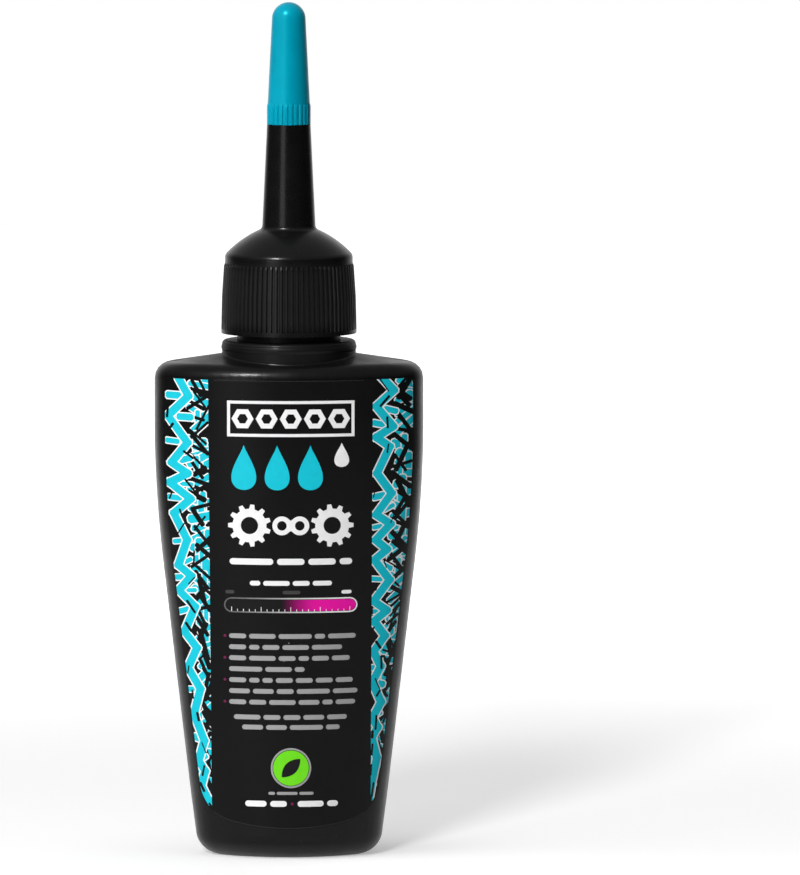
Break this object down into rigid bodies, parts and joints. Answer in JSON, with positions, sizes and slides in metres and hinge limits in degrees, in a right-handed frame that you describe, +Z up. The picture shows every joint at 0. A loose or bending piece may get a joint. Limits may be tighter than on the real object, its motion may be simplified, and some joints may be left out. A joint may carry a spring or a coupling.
{
  "type": "chain lube bottle",
  "caption": "Flat oval squeeze bottle for chain lubricant, with a ribbed screw-on spout closure and a small push-on tip cap.",
  "frame": {"origin": "centre of the foot, on the surface that the bottle stands on", "axes": "+Z up along the neck and the spout, the label faces -Y, the wide sides lie along X"},
  "size_m": [0.0452, 0.0262, 0.1441],
  "materials": {
    "bottle_plastic": "satin",
    "label_film": "satin",
    "washer_foam": "matte",
    "nozzle_plastic": "satin",
    "tip_plastic": "satin"
  },
  "bodies": {
    "bottle": {"bottle": "bottle_plastic", "front_label": "label_film"},
    "washer": {"sealing_washer": "washer_foam"},
    "nozzle": {"nozzle_cap": "nozzle_plastic"},
    "tip": {"tip_cap": "tip_plastic"}
  },
  "joints": [
    {"name": "nozzle_rise", "type": "slide", "parent": "bottle", "child": "washer", "axis": [0, 0, 1], "range_m": [0, 0.0048]},
    {"name": "nozzle_turn", "type": "hinge", "parent": "washer", "child": "nozzle", "pos_m": [0, 0, 0.0945], "axis": [0, 0, 1], "range_deg": [0, 540]},
    {"name": "tip_cap_pull", "type": "slide", "parent": "nozzle", "child": "tip", "axis": [0, 0, 1], "range_m": [0, 0.021]}
  ],
  "couplings": [
    {"joint": "nozzle_rise", "follows": "nozzle_turn", "m_per_rad": 0.00050532}
  ]
}
